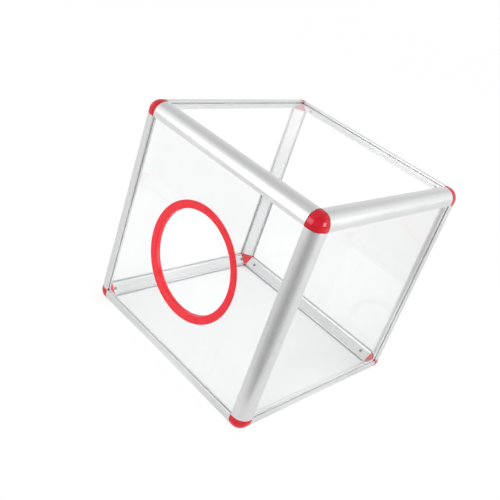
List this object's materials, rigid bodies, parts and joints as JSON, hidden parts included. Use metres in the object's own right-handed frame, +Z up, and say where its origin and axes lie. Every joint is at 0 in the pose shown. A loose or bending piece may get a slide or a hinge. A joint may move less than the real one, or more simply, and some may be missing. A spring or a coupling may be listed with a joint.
{
  "type": "raffle box",
  "caption": "Clear cubic raffle box: flat panels in a frame of metal edge rails with domed plastic corners, and a round hand hole lined with a rubber ring in the front panel.",
  "frame": {"origin": "middle of the base, on the plane that the bottom rails and bottom corners stand on", "axes": "+Z up, -Y out of the front panel, which has the hand hole, and +X to the right seen from the front"},
  "size_m": [0.25, 0.25, 0.25],
  "materials": {
    "satin_aluminium": "satin anodised",
    "red_plastic": "moulded, glossy",
    "clear_acrylic": "clear polished sheet",
    "red_rubber": "smooth, slightly glossy",
    "screw_steel": "plated steel"
  },
  "bodies": {
    "root": {"rail_front_bottom": "satin_aluminium", "rail_front_top": "satin_aluminium", "rail_back_bottom": "satin_aluminium", "rail_back_top": "satin_aluminium", "rail_left_bottom": "satin_aluminium", "rail_left_top": "satin_aluminium", "rail_right_bottom": "satin_aluminium", "rail_right_top": "satin_aluminium", "post_front_left": "satin_aluminium", "post_front_right": "satin_aluminium", "post_back_left": "satin_aluminium", "post_back_right": "satin_aluminium", "corner_front_left_bottom": "red_plastic", "corner_front_left_top": "red_plastic", "corner_front_right_bottom": "red_plastic", "corner_front_right_top": "red_plastic", "corner_back_left_bottom": "red_plastic", "corner_back_left_top": "red_plastic", "corner_back_right_bottom": "red_plastic", "corner_back_right_top": "red_plastic", "panel_front": "clear_acrylic", "panel_back": "clear_acrylic", "panel_left": "clear_acrylic", "panel_right": "clear_acrylic", "panel_bottom": "clear_acrylic", "panel_top": "clear_acrylic", "hand_hole_ring": "red_rubber", "screw_front_bottom_by_left": "screw_steel", "screw_front_bottom_by_right": "screw_steel", "screw_front_top_by_left": "screw_steel", "screw_front_top_by_right": "screw_steel", "screw_back_bottom_by_left": "screw_steel", "screw_back_bottom_by_right": "screw_steel", "screw_back_top_by_left": "screw_steel", "screw_back_top_by_right": "screw_steel", "screw_left_bottom_by_front": "screw_steel", "screw_left_bottom_by_back": "screw_steel", "screw_left_top_by_front": "screw_steel", "screw_left_top_by_back": "screw_steel", "screw_right_bottom_by_front": "screw_steel", "screw_right_bottom_by_back": "screw_steel", "screw_right_top_by_front": "screw_steel", "screw_right_top_by_back": "screw_steel"}
  },
  "joints": []
}
